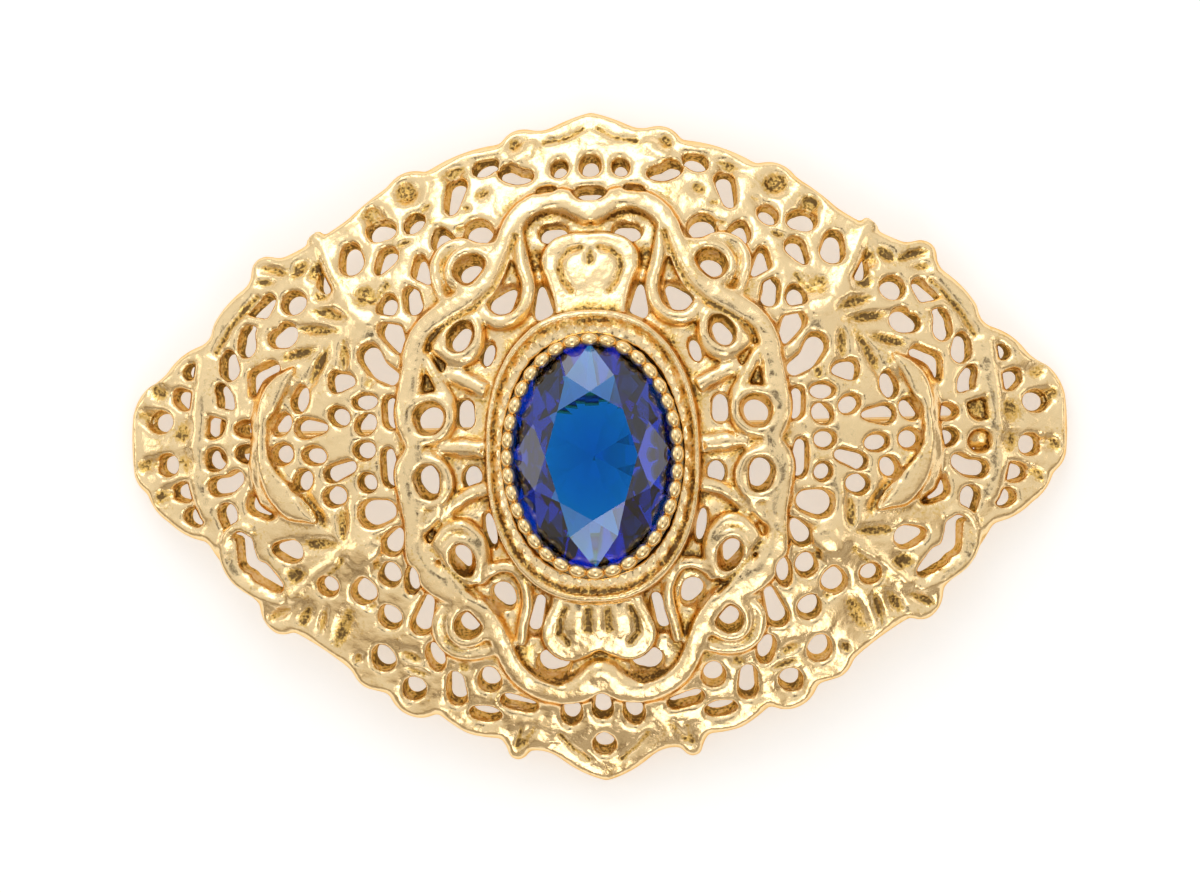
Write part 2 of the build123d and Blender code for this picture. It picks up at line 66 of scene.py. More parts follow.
PLATE = 1.8
DOME_RISE = 8.0
COLLET_ABOVE_PLATE = 1.1
VOXEL = 0.17
BAR_ROUNDING = 12
plate_low, plate_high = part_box("filigree_plate")
half_length = (plate_high[0] - plate_low[0]) / 2 / MM
half_width = (plate_high[1] - plate_low[1]) / 2 / MM
long_radius = (half_length**2 + DOME_RISE**2) / (2 * DOME_RISE) + PLATE
cross_radius = (half_width**2 + DOME_RISE**2) / (2 * DOME_RISE) + PLATE
apex = plate_high[2] / MM - COLLET_ABOVE_PLATE
axis_z = apex - long_radius


def dome_height(x, y):
    """Height of the plate's top face in millimetres, also for whole arrays of places."""
    side = long_radius - cross_radius + numpy.sqrt(cross_radius**2 - y * y)
    return axis_z + numpy.sqrt(side * side - x * x)


def above_dome(places):
    """How far each place of an array lies above the plate's top face, in millimetres."""
    return places[:, 2] - dome_height(places[:, 0], places[:, 1])


def dome_turn(x, y):
    """Rotation that lays a thing's own Z along the dome's normal."""
    lean_x = atan2(x, dome_height(x, y) - axis_z)
    lean_y = asin(y / cross_radius)
    normal = Vector((cos(lean_y) * sin(lean_x), sin(lean_y), cos(lean_y) * cos(lean_x)))
    along = Vector((cos(lean_x), 0, -sin(lean_x)))
    across = normal.cross(along)
    return Matrix((along, across, normal)).transposed()


def only(piece):
    """Makes one object the only one that is selected, and the active one."""
    bpy.ops.object.select_all(action="DESELECT")
    piece.select_set(True)
    bpy.context.view_layer.objects.active = piece


def joined(pieces, name):
    """One mesh object out of several."""
    bpy.ops.object.select_all(action="DESELECT")
    for piece in pieces:
        piece.select_set(True)
    bpy.context.view_layer.objects.active = pieces[0]
    if len(pieces) > 1:
        bpy.ops.object.join()
    whole = bpy.context.object
    whole.name = name
    whole.data.name = name
    return whole


def apply_modifier(piece, kind, **settings):
    """Adds one modifier and applies it."""
    only(piece)
    modifier = piece.modifiers.new(kind.title(), kind)
    for key, value in settings.items():
        setattr(modifier, key, value)
    bpy.ops.object.modifier_apply(modifier=modifier.name)


def merged_copy(node, name):
    """Copy of a frame node with its loose triangles merged, at a thousandth of a millimetre."""
    copy = nodes[node].copy()
    copy.data = nodes[node].data.copy()
    bpy.context.collection.objects.link(copy)
    copy.name = name
    copy.parent = None
    copy.hide_render = False
    copy.hide_viewport = False
    only(copy)
    bpy.ops.object.mode_set(mode="EDIT")
    bpy.ops.mesh.select_all(action="SELECT")
    bpy.ops.mesh.remove_doubles(threshold=0.000001)
    bpy.ops.object.mode_set(mode="OBJECT")
    return copy


casting = merged_copy("filigree_plate", "casting")

# Small gaps that the frame's plate doesn't have, left half: x, y, length, width, turn
SMALL_GAPS = [
    (-2.45, 22.3, 1.9, 1.5, 80), (-3.5, 20.4, 2.1, 1.1, 10),
    (-35.05, 2.8, 2.4, 1.9, 0), (-27.8, 2.1, 2.55, 1.5, 180), (-16.3, 11.6, 2.15, 1.75, 90),
    (-23.5, 4.4, 2.5, 1.6, 80), (-25.1, 2.4, 2.15, 1.75, 45), (-20.35, 2.9, 2.1, 1.65, 150),
    (-18.25, 4.05, 2.3, 1.5, 0), (-18.2, 2.2, 2.15, 1.75, 225), (-14.1, 18.2, 2.1, 1.6, 55),
    (-8.4, 22.6, 2.4, 1.75, 35), (-8.3, 7.6, 2.4, 1.3, 75), (-32.3, 6.9, 2.0, 1.75, 0),
    (-34.5, -0.65, 2.1, 1.9, 0), (-27.9, 0.05, 2.3, 1.6, 170), (-20.85, -3.5, 2.15, 1.8, 10),
    (-23.4, -2.2, 2.1, 1.65, 60), (-25.05, 0.0, 2.0, 1.8, 0), (-22.45, -0.2, 2.25, 1.6, -10),
    (-18.15, -2.45, 1.75, 1.6, -45), (-18.35, 0.15, 2.0, 1.7, 0), (-13.2, -16.5, 2.7, 1.6, -80),
    (-9.4, -21.15, 2.8, 1.5, -10), (-2.5, -21.25, 2.45, 1.8, -100), (-8.45, -6.5, 3.4, 1.2, -80),
    (-9.75, -2.3, 2.3, 1.8, 90), (-14.8, -10.3, 2.6, 1.4, -95), (-21.65, -10.65, 1.85, 1.75, 0),
    (-32.45, -4.9, 1.95, 1.85, 0),
]
CUTTER_DEPTH = 6.0
CUTTER_SIDES = 20
cutters = []
for x, y, length, width, turn in SMALL_GAPS:
    for side in (1, -1):
        bpy.ops.object.select_all(action="DESELECT")
        bpy.ops.mesh.primitive_cylinder_add(
            vertices=CUTTER_SIDES, radius=MM / 2, depth=CUTTER_DEPTH * MM)
        cutter = bpy.context.object
        spin = Matrix.Rotation(radians(turn * side), 3, "Z") @ Matrix.Diagonal((length, width, 1))
        place = dome_turn(x * side, y) @ spin
        middle = Vector((x * side, y, dome_height(x, y))) * MM
        cutter.data.transform(Matrix.Translation(middle) @ place.to_4x4())
        cutters.append(cutter)
cutter = joined(cutters, "cutter")
apply_modifier(casting, "BOOLEAN", operation="DIFFERENCE", solver="MANIFOLD", object=cutter)
bpy.data.objects.remove(cutter)
apply_modifier(casting, "REMESH", mode="VOXEL", voxel_size=VOXEL * MM)

# Rounded lip along the scalloped rim, left half. The corners are x, y, and how far the stretch
# that ends there swells outwards.
LIP_RADIUS = 0.5
LIP_INSET = 0.55
LIP_CREST = 0.22
RIM = [
    (0.0, -26.7, 0.0), (-3.75, -24.7, 0.25), (-6.15, -24.15, -0.25), (-7.6, -24.6, 0.45),
    (-8.3, -23.05, -0.1), (-10.9, -22.65, 0.1), (-13.3, -20.9, 0.1), (-15.3, -21.2, 0.25),
    (-17.1, -19.3, 0.35), (-18.85, -18.85, 0.0), (-20.0, -17.4, 0.2), (-24.65, -14.15, -0.15),
    (-26.2, -14.2, 0.25), (-27.25, -11.9, 0.35), (-31.4, -6.85, 0.3), (-34.5, -5.25, 0.3),
    (-36.2, -2.9, 0.3), (-37.3, -1.2, 0.25), (-37.3, 3.2, 0.1), (-35.9, 5.65, 0.25),
    (-34.4, 6.65, -0.1), (-31.4, 8.85, 0.35), (-30.55, 10.4, -0.25), (-27.7, 13.45, 0.25),
    (-27.35, 14.25, 0.0), (-25.85, 15.8, 0.6), (-24.8, 15.65, -0.05), (-19.55, 18.55, -0.15),
    (-16.3, 21.1, 0.1), (-13.2, 22.2, 0.6), (-7.2, 24.3, 0.4), (-4.8, 25.4, 0.5),
    (-3.2, 25.5, -0.15), (0.0, 26.7, 0.1),
]
edge = [(RIM[0][0], RIM[0][1])]
for (x0, y0, _), (x1, y1, swell) in zip(RIM, RIM[1:]):
    reach = sqrt((x1 - x0) ** 2 + (y1 - y0) ** 2)
    bulge_x = (x0 + x1) / 2 - (y1 - y0) / reach * swell
    bulge_y = (y0 + y1) / 2 + (x1 - x0) / reach * swell
    edge.append((bulge_x, bulge_y))
    edge.append((x1, y1))
lip = [(0.0, edge[0][1] + LIP_INSET)]
for (x0, y0), (x, y), (x1, y1) in zip(edge, edge[1:], edge[2:]):
    reach = sqrt((x1 - x0) ** 2 + (y1 - y0) ** 2)
    lip.append((x + (y1 - y0) / reach * LIP_INSET, y - (x1 - x0) / reach * LIP_INSET))
lip.append((0.0, edge[-1][1] - LIP_INSET))


def inside(x, y, corners):
    """Which places of two arrays lie inside a closed line."""
    within = numpy.zeros(len(x), bool)
    for (x0, y0), (x1, y1) in zip(corners, corners[1:] + corners[:1]):
        if y0 != y1:
            crossed = (y0 > y) != (y1 > y)
            within ^= crossed & (x < (x1 - x0) * (y - y0) / (y1 - y0) + x0)
    return within


def mesh_places(piece):
    """Places in millimetres and normals of a mesh's points, as arrays."""
    places = numpy.empty(len(piece.data.vertices) * 3)
    piece.data.vertices.foreach_get("co", places)
    normals = numpy.empty(len(piece.data.vertices) * 3)
    piece.data.vertex_normals.foreach_get("vector", normals)
    return places.reshape(-1, 3) / MM, normals.reshape(-1, 3)


def put_places(piece, places):
    """Moves a mesh's points to an array of places in millimetres."""
    piece.data.vertices.foreach_set("co", (places * MM).ravel())
    piece.data.update()


def uprightness(places, normals):
    """How far each point faces out of the dome: 1 on its top, 0 on a wall, -1 below."""
    lean = numpy.stack(
        (places[:, 0] / long_radius, places[:, 1] / cross_radius, numpy.ones(len(places))))
    lean = (lean / numpy.sqrt((lean**2).sum(axis=0))).T
    return (lean * normals).sum(axis=1)


# The mould's draft: the walls of the gaps lean, open at the top and narrower below
DRAFT_OPEN = 0.12
DRAFT_CLOSE = 0.2
WALL_BLEND = 0.8
# The lugs and the catch start this far below the plate's top, and keep their size beside the pin
HARDWARE_TOP = -1.95
within_rim = lip + [(-x, y) for x, y in lip[::-1]]
places, normals = mesh_places(casting)
height = above_dome(places)
walls = numpy.clip(1 - numpy.abs(uprightness(places, normals)) / WALL_BLEND, 0, 1)
walls *= inside(places[:, 0], places[:, 1], within_rim) & (height > HARDWARE_TOP)
share = numpy.clip((height + PLATE) / PLATE, 0, 1)
places += normals * (walls * (DRAFT_CLOSE * (1 - share) - DRAFT_OPEN * share))[:, None]
put_places(casting, places)
apply_modifier(casting, "SMOOTH", factor=0.5, iterations=BAR_ROUNDING)

# The strapwork cartouche, left half, from the dip at the top round the side to the lower dip
STRAP_RADIUS = 0.92
STRAP_CREST = 0.95
UPPER_STRAP = [
    (0.0, 18.3), (-2.3, 19.4), (-4.1, 19.3), (-5.3, 18.6), (-6.6, 16.5), (-7.7, 14.1),
    (-8.6, 12.9), (-11.0, 11.5), (-13.4, 9.5), (-14.3, 7.6), (-14.3, 5.2), (-15.0, 3.2),
    (-14.7, 1.6), (-14.1, 0.4),
]
LOWER_STRAP = [
    (-14.1, 0.1), (-15.1, -1.6), (-14.7, -3.5), (-14.1, -4.6), (-14.4, -6.4), (-13.6, -9.0),
    (-12.2, -10.4), (-9.2, -12.8), (-8.0, -14.8), (-6.7, -17.7), (-5.2, -19.0), (-3.5, -19.5),
    (-1.8, -18.9), (0.0, -17.7),
]


def oval_reach(dx, dy, half_length, half_width, turn):
    """Squared distance from an oval's middle as a share of its size: 1 on the oval itself."""
    c, s = cos(radians(turn)), sin(radians(turn))
    return ((dx * c + dy * s) / half_length) ** 2 + ((dy * c - dx * s) / half_width) ** 2


# Ground of the cartouche, sunk between its bars and left alone where relief already stands
GROUND_SINK = 0.4
GROUND_FACING = 0.3
GROUND_LOWEST = -0.7
RELIEF_FREE = 0.3
RELIEF_BLEND = 0.2
places, normals = mesh_places(casting)
height = above_dome(places)
left_line = UPPER_STRAP + LOWER_STRAP
right_line = [(-x, y) for x, y in left_line[::-1]]
ground = inside(places[:, 0], places[:, 1], left_line + right_line)
ground = ground & (normals[:, 2] > GROUND_FACING) & (height > GROUND_LOWEST)
bare = numpy.clip((RELIEF_FREE + RELIEF_BLEND - height) / RELIEF_BLEND, 0, 1)
places[:, 2] -= GROUND_SINK * ground * bare
# Bosses of the frame's plate, pressed down to make room for leaves: x, y, length, width, turn
BOSSES = [
    (-18.9, 11.3, 4.4, 2.0, -35), (-18.4, -7.9, 3.2, 1.8, 35), (-5.3, 23.6, 2.6, 1.2, 35),
    (-5.6, -23.1, 2.6, 1.2, -35),
]
BOSS_MARGIN = 0.6
BOSS_SINK = 0.75
for x, y, length, width, turn in BOSSES:
    for side in (1, -1):
        reach = oval_reach(places[:, 0] - x * side, places[:, 1] - y,
                           length / 2 + BOSS_MARGIN, width / 2 + BOSS_MARGIN, turn * side)
        places[:, 2] -= BOSS_SINK * numpy.clip(height, 0, 1) * (reach < 1) * (normals[:, 2] > 0)
# The bars get back what the rounding took
FILL = 0.1
filled = inside(places[:, 0], places[:, 1], within_rim) & (height > HARDWARE_TOP)
places += normals * (FILL * filled)[:, None]
put_places(casting, places)

# Bars of the relief. A bar's lower side stays this far above the plate's underside.
UNDERSIDE_CLEAR = 0.25


def draped_bar(points, radius, crest, closed=False, swells=None):
    """Round bar laid along the dome through the given places, its top a crest above the plate.

    Its lower side is flattened so that a thick bar never shows below the plate.
    """
    curve = bpy.data.curves.new("bar", "CURVE")
    curve.dimensions = "3D"
    curve.bevel_depth = radius * MM
    curve.bevel_resolution = 3
    curve.resolution_u = 8
    curve.use_fill_caps = True
    line = curve.splines.new("BEZIER")
    line.bezier_points.add(len(points) - 1)
    line.use_cyclic_u = closed
    for index, (knot, (x, y)) in enumerate(zip(line.bezier_points, points)):
        swell = swells[index] if swells else 1
        knot.co = Vector((x, y, dome_height(x, y) + crest - radius * swell)) * MM
        knot.handle_left_type = knot.handle_right_type = "AUTO"
        knot.radius = swell
    bar = bpy.data.objects.new("bar", curve)
    bpy.context.collection.objects.link(bar)
    only(bar)
    bpy.ops.object.convert(target="MESH")
    bar = bpy.context.object
    spots, _ = mesh_places(bar)
    lowest = dome_height(spots[:, 0], spots[:, 1]) - PLATE + UNDERSIDE_CLEAR
    spots[:, 2] = numpy.maximum(spots[:, 2], lowest)
    put_places(bar, spots)
    return bar


def both_sides(points, *rest, **more):
    """A draped bar in the left half and its twin in the right half."""
    twin = [(-x, y) for x, y in points]
    return [draped_bar(points, *rest, **more), draped_bar(twin, *rest, **more)]


def ring_points(x, y, length, width, turn, count=8):
    """Places round an ellipse."""
    spots = []
    c, s = cos(radians(turn)), sin(radians(turn))
    for step in range(count):
        angle = 2 * pi * step / count
        along, across = length / 2 * cos(angle), width / 2 * sin(angle)
        spots.append((x + along * c - across * s, y + along * s + across * c))
    return spots


# The lower straps cross a little past the middle, so that their ends lie in each other
LOWER_CROSSING = (0.8, -18.1)
raised = both_sides(UPPER_STRAP, STRAP_RADIUS, STRAP_CREST)
raised += both_sides(LOWER_STRAP + [LOWER_CROSSING], STRAP_RADIUS, STRAP_CREST)

# Scrolls and loops beside the straps, left half: radius, crest, places
SCROLLS = [
    (0.64, 0.8, [(-5.9, 17.4), (-5.6, 15.7), (-5.3, 14.3), (-4.95, 13.1), (-5.0, 11.9),
                 (-5.6, 10.7), (-6.6, 10.1), (-7.8, 10.2), (-8.7, 11.1)]),
    (0.55, 0.7, [(-8.6, 10.9), (-9.0, 10.0), (-8.9, 8.9), (-9.1, 7.9), (-9.9, 7.2), (-10.8, 7.1),
                 (-11.7, 7.6), (-12.4, 8.4), (-12.7, 9.3)]),
    (0.47, 0.75, [(-7.5, 16.0), (-8.9, 16.0), (-10.2, 16.4), (-11.4, 16.1), (-12.2, 15.2),
                  (-12.4, 14.2), (-12.1, 13.0), (-11.6, 11.9)]),
    (0.55, 0.7, [(-13.7, 8.0), (-12.8, 6.5), (-12.0, 5.0), (-11.4, 3.9), (-11.3, 2.4), (-11.9, 1.3),
                 (-12.9, 0.8), (-14.1, 1.0)]),
    (0.75, 0.4, [(-11.7, 6.2), (-10.1, 5.5), (-8.3, 4.6)]),
    (0.55, 0.7, [(-14.5, -0.9), (-13.4, -0.4), (-12.1, -1.3), (-11.8, -2.6), (-12.2, -4.1),
                 (-12.9, -5.3), (-13.7, -6.2)]),
    (0.65, 0.4, [(-12.4, -5.4), (-10.9, -4.1), (-9.6, -3.4), (-8.4, -3.1)]),
    (0.62, 0.8, [(-12.9, -8.4), (-12.1, -6.7), (-10.8, -6.0), (-9.5, -6.8), (-9.0, -8.2),
                 (-9.2, -9.5), (-9.4, -10.6)]),
    (0.5, 0.6, [(-9.4, -10.6), (-8.5, -9.7), (-7.0, -9.4), (-5.9, -10.5), (-5.6, -12.1),
                (-6.0, -14.0), (-6.3, -15.6)]),
    (0.5, 0.7, [(-11.4, -12.0), (-12.7, -13.2), (-12.8, -14.7), (-11.9, -15.9), (-10.2, -16.3),
                (-8.4, -15.9)]),
]
for radius, crest, points in SCROLLS:
    raised += both_sides(points, radius, crest)

# Low rings round the gaps inside the loops: x, y, length, width, turn
LOW_RINGS = [
    (-9.8, 14.25, 3.2, 2.8, 20), (-10.35, -13.85, 3.1, 2.8, 45), (-10.4, 9.0, 3.3, 2.6, 60),
    (-10.6, -8.8, 3.3, 2.6, -70), (-13.0, 2.55, 3.2, 3.0, 45), (-13.1, -2.5, 3.4, 3.0, -75),
]
RING_RADIUS = 0.36
RING_CREST = 0.25
for row in LOW_RINGS:
    raised += both_sides(ring_points(*row), RING_RADIUS, RING_CREST, closed=True)

# Leaf between the loops and the collet
LEAF = [(-12.3, 0.1), (-10.7, 0.2), (-8.7, 0.0)]
LEAF_RADIUS = 0.95
LEAF_CREST = 0.5
raised += both_sides(LEAF, LEAF_RADIUS, LEAF_CREST, swells=[0.35, 0.95, 0.8])

# Urn above the collet and palmette below it, left half of their outlines
URN = [
    (0.0, 16.6), (-1.9, 16.5), (-3.1, 15.8), (-3.45, 14.5), (-2.95, 13.1), (-2.5, 11.4),
    (-2.45, 10.6),
]
PALMETTE = [
    (-3.1, -11.6), (-3.4, -12.7), (-3.9, -13.7), (-4.2, -14.8), (-3.8, -15.9), (-2.5, -16.6),
    (-1.2, -16.3), (0.0, -15.7),
]
OUTLINE_RADIUS = 0.45
OUTLINE_CREST = 0.45
raised += both_sides(URN, OUTLINE_RADIUS, OUTLINE_CREST)
raised += both_sides(PALMETTE, OUTLINE_RADIUS, OUTLINE_CREST)

# Crescents, smooth and crowned, broad above and below and narrow in the middle
CRESCENT = [
    (-23.6, 6.3), (-25.2, 4.8), (-26.2, 3.2), (-26.6, 1.2), (-26.5, -1.4), (-25.6, -3.1),
    (-24.3, -4.6),
]
CRESCENT_SWELLS = [0.55, 1.15, 0.9, 0.55, 0.85, 1.15, 0.6]
CRESCENT_RADIUS = 1.5
CRESCENT_CREST = 0.62
raised += both_sides(CRESCENT, CRESCENT_RADIUS, CRESCENT_CREST, swells=CRESCENT_SWELLS)

# Bands of the openwork that stand a little above it, left half: radius, crest, places
BANDS = [
    (0.95, 0.3, [(-31.0, 7.9), (-31.4, 5.5), (-31.7, 3.3), (-31.9, 1.0), (-32.0, -1.3),
                 (-31.6, -3.3), (-31.0, -4.8)]),
    (0.8, 0.3, [(-22.3, 17.2), (-21.6, 16.4), (-20.7, 14.4), (-19.8, 12.6), (-19.0, 10.9)]),
    (0.45, 0.4, [(-27.6, -6.2), (-28.7, -5.7), (-29.9, -6.9), (-29.6, -9.2), (-27.6, -11.0),
                 (-25.3, -11.9)]),
    (0.5, 0.35, [(-24.7, -11.5), (-23.2, -10.1), (-22.2, -9.3), (-20.6, -8.6)]),
    (0.5, 0.12, [(-31.9, 3.9), (-30.4, 3.5), (-28.9, 3.1)]),
    (0.5, 0.12, [(-22.0, 4.6), (-20.3, 4.35), (-18.8, 4.9)]),
    (0.42, 0.12, [(-28.7, 11.0), (-27.0, 10.6), (-25.0, 10.2)]),
    (0.4, 0.12, [(-17.8, 10.8), (-16.2, 10.5), (-14.7, 10.3)]),
    (0.42, 0.12, [(-15.4, 13.9), (-14.1, 13.3), (-12.4, 12.4)]),
]
for radius, crest, points in BANDS:
    raised += both_sides(points, radius, crest)

raised += both_sides(lip, LIP_RADIUS, LIP_CREST)

# All that is cast together becomes one skin, and tumbling softens it
TUMBLING = 5
casting = joined([casting] + raised, "filigree_casting")
apply_modifier(casting, "REMESH", mode="VOXEL", voxel_size=VOXEL * MM)
apply_modifier(casting, "SMOOTH", factor=0.5, iterations=TUMBLING)

# Blind pits and the veins of the leaves, left half: x, y, length, width, turn, depth
PITS = [
    (-35.0, 5.2, 1.8, 1.2, -35, 0.45), (-35.9, 3.2, 1.7, 1.2, -15, 0.45),
    (-36.0, -0.6, 1.7, 1.1, 20, 0.45), (-34.8, -3.0, 1.7, 1.0, 35, 0.35),
    (-33.1, 2.0, 2.0, 1.5, 60, 0.3), (-32.9, -0.4, 1.9, 1.4, -50, 0.3),
    (-20.9, 11.0, 2.5, 0.95, -15, 0.5), (-22.0, 9.8, 3.2, 0.85, -6, 0.5),
    (-23.5, 7.9, 2.8, 0.8, 15, 0.45), (-21.9, 6.8, 3.3, 0.8, 63, 0.5),
    (-19.8, 7.6, 2.5, 0.75, 88, 0.45), (-18.0, 12.3, 1.9, 1.6, 30, 0.5),
    (-25.4, 14.6, 2.3, 0.7, -15, 0.4), (-23.3, 14.7, 1.8, 1.0, 35, 0.45),
    (-26.1, 13.7, 1.3, 0.6, 0, 0.35), (-17.4, 18.8, 1.6, 1.4, 0, 0.6),
    (-14.7, 20.5, 1.8, 1.6, 0, 0.65), (-6.0, 24.1, 1.1, 1.0, 0, 0.4),
    (-8.6, 20.3, 1.1, 0.75, 30, 0.35), (-13.2, 19.3, 0.9, 0.6, 40, 0.3),
    (-10.4, 17.5, 0.8, 0.5, 0, 0.3), (-14.9, 16.5, 1.1, 0.45, 20, 0.3),
    (-21.6, 12.6, 1.3, 1.1, 0, 0.45), (-11.25, 12.75, 1.3, 1.0, 20, 0.4),
    (-10.9, 22.0, 1.9, 0.8, 20, 0.45), (-22.2, 14.4, 1.5, 1.0, 70, 0.5),
    (-9.9, 19.2, 0.7, 0.5, 0, 0.3), (-17.8, 5.5, 1.0, 0.8, 70, 0.35),
    (-22.6, -4.4, 3.4, 0.95, -55, 0.5), (-20.2, -5.6, 2.6, 0.8, 88, 0.5),
    (-22.2, -7.2, 3.0, 1.0, 0, 0.45), (-20.4, -13.7, 3.2, 1.3, 65, 0.4),
    (-25.6, -12.7, 2.1, 0.7, 25, 0.4), (-23.5, -12.9, 1.7, 0.9, 55, 0.4),
    (-22.1, -13.3, 2.0, 0.6, 75, 0.4), (-24.2, -9.6, 1.5, 1.2, 0, 0.4),
    (-18.1, -12.2, 0.8, 0.8, 0, 0.4), (-15.0, -16.4, 1.8, 0.8, -25, 0.4),
    (-10.9, -17.3, 1.0, 0.8, 0, 0.35), (-14.6, -17.6, 1.9, 0.5, -20, 0.35),
    (-19.4, -16.4, 0.8, 0.6, 60, 0.35), (-6.1, -23.0, 1.7, 0.6, 50, 0.35),
    (-4.35, 14.9, 1.6, 1.1, 95, 0.5), (-17.3, 8.0, 1.6, 0.5, 110, 0.3),
    (-17.5, -9.0, 1.8, 0.5, 60, 0.3), (-18.6, -4.9, 1.5, 0.5, 100, 0.3),
    (0.0, 15.1, 1.2, 0.7, 90, 0.35),
]
# Engraved lines, left half: depth, width, places
LINES = [
    (0.45, 0.28, [(-5.9, 16.9), (-6.4, 15.5), (-7.0, 14.1), (-7.8, 12.6), (-9.2, 11.3),
                  (-10.6, 10.5), (-11.9, 9.7), (-12.7, 8.9), (-13.1, 8.0)]),
    (0.35, 0.25, [(-13.0, -7.9), (-12.3, -9.0), (-10.9, -10.4), (-9.5, -11.7)]),
    (0.4, 0.28, [(-30.2, 8.2), (-29.2, 10.0), (-27.9, 11.5), (-26.9, 12.5)]),
    (0.4, 0.26, [(-0.75, 15.8), (-1.6, 15.6), (-2.25, 15.0), (-2.4, 14.2), (-2.1, 13.2),
                 (-1.5, 12.4)]),
    (0.42, 0.26, [(-2.6, -12.8), (-3.0, -13.7), (-3.1, -14.8), (-2.5, -15.5)]),
    (0.38, 0.36, [(-0.75, -13.0), (-0.85, -14.4)]),
    (0.28, 0.3, [(-16.8, 9.6), (-15.4, 9.1)]),
    (0.28, 0.3, [(-17.3, 11.9), (-16.3, 13.2)]),
    (0.28, 0.3, [(-17.6, -8.9), (-16.4, -10.4)]),
    (0.28, 0.3, [(-17.4, -6.9), (-15.8, -6.4)]),
    (0.28, 0.3, [(-20.4, -8.6), (-21.4, -9.6)]),
    (0.3, 0.2, [(-3.5, -22.9), (-2.5, -24.0), (-1.3, -24.9)]),
    (0.25, 0.2, [(-7.0, -23.6), (-6.6, -22.4)]),
    (0.25, 0.2, [(-3.6, 24.3), (-2.0, 24.6), (-0.6, 25.3)]),
]
# Swellings of the leaf rosettes and of the palmette, left half: x, y, radius, height
ROSETTES = [(-18.8, 10.4, 2.6, 0.5), (-19.2, -7.4, 2.6, 0.5), (-1.4, -13.4, 1.9, 0.2)]
places, normals = mesh_places(casting)
height = above_dome(places)
# The top face: what faces up by more than this, and isn't deep down in a gap
TOP_FACING = 0.35
TOP_BLEND = 0.35
TOP_LOWEST = -0.9
topside = numpy.clip((normals[:, 2] - TOP_FACING) / TOP_BLEND, 0, 1) * (height > TOP_LOWEST)


def near(x, y, reach):
    """Numbers of the top face's points that lie within a square round a place."""
    close = numpy.abs(places[:, 0] - x) < reach
    close &= numpy.abs(places[:, 1] - y) < reach
    return numpy.flatnonzero(close & (topside > 0))


PIT_STEEPNESS = 2.5


def pit_depth():
    """Depth of the blind pits at each point."""
    depths = numpy.zeros(len(places))
    for x, y, length, width, turn, depth in PITS:
        for side in (1, -1):
            spots = near(x * side, y, length)
            reach = oval_reach(places[spots, 0] - x * side, places[spots, 1] - y,
                               length / 2, width / 2, turn * side)
            depths[spots] = numpy.maximum(depths[spots], depth / (1 + reach**PIT_STEEPNESS))
    return depths


# An engraved line fades out within this many times its width
LINE_REACH = 3


def line_depth():
    """Depth of the engraved lines at each point."""
    depths = numpy.zeros(len(places))
    for depth, width, points in LINES:
        for side in (1, -1):
            for (x0, y0), (x1, y1) in zip(points, points[1:]):
                x0, x1 = x0 * side, x1 * side
                run = sqrt((x1 - x0) ** 2 + (y1 - y0) ** 2)
                spots = near((x0 + x1) / 2, (y0 + y1) / 2, run / 2 + LINE_REACH * width)
                dx, dy = places[spots, 0] - x0, places[spots, 1] - y0
                along = numpy.clip((dx * (x1 - x0) + dy * (y1 - y0)) / run**2, 0, 1)
                away = (dx - along * (x1 - x0)) ** 2 + (dy - along * (y1 - y0)) ** 2
                depths[spots] = numpy.maximum(depths[spots], depth * numpy.exp(-away / width**2))
    return depths


# The urn and the palmette are smooth shields, nearly as high as their outlines
SHIELD_RISE = 0.4
for outline in (URN, PALMETTE):
    shield = inside(places[:, 0], places[:, 1], outline + [(-x, y) for x, y in outline[::-1]])
    shield &= (normals[:, 2] > 0) & (height > TOP_LOWEST)
    top = dome_height(places[:, 0], places[:, 1]) + SHIELD_RISE
    places[:, 2] = numpy.where(shield, numpy.maximum(places[:, 2], top), places[:, 2])
for x, y, radius, rise in ROSETTES:
    for side in (1, -1):
        spots = near(x * side, y, 2 * radius)
        away = (places[spots, 0] - x * side) ** 2 + (places[spots, 1] - y) ** 2
        places[spots, 2] += rise * topside[spots] * numpy.exp(-away / radius**2)
cuts = pit_depth() + line_depth()
places[:, 2] -= topside * cuts
put_places(casting, places)

# Flutes in the cove between the collet's rim and the cup. The band is 0 at the cup and 1 at the
# collet's edge, and the cove takes up its inner share.
FLUTES = 40
FLUTE_DEPTH = 0.26
COVE_SHARE = 0.75
COVE_LOW = 10.6
COVE_HIGH = 10.82
COVE_CURVE = 1.4
COVE_REACH_DOWN = 1.0
COVE_FACING = -0.2
UNDER_BEADS = 0.02
TINY = 1e-9
COLLET_FULLNESS = 2.3
SETTING_Y = -0.75
COLLET_HALF = (8.5, 11.6)
CUP_HALF = (7.2, 9.7)


def oval_share(half_sizes):
    """How far out each point lies from the setting's middle: 1 on the oval itself."""
    over_x = numpy.abs(places[:, 0]) / half_sizes[0]
    over_y = numpy.abs(places[:, 1] - SETTING_Y) / half_sizes[1]
    return (over_x**COLLET_FULLNESS + over_y**COLLET_FULLNESS) ** (1 / COLLET_FULLNESS)


def cove_band():
    """How far past the cup and within the collet each point lies, and its place in the band."""
    past_cup = oval_share(CUP_HALF) - 1
    within_collet = 1 - oval_share(COLLET_HALF)
    return past_cup, within_collet, past_cup / (past_cup + within_collet + TINY)


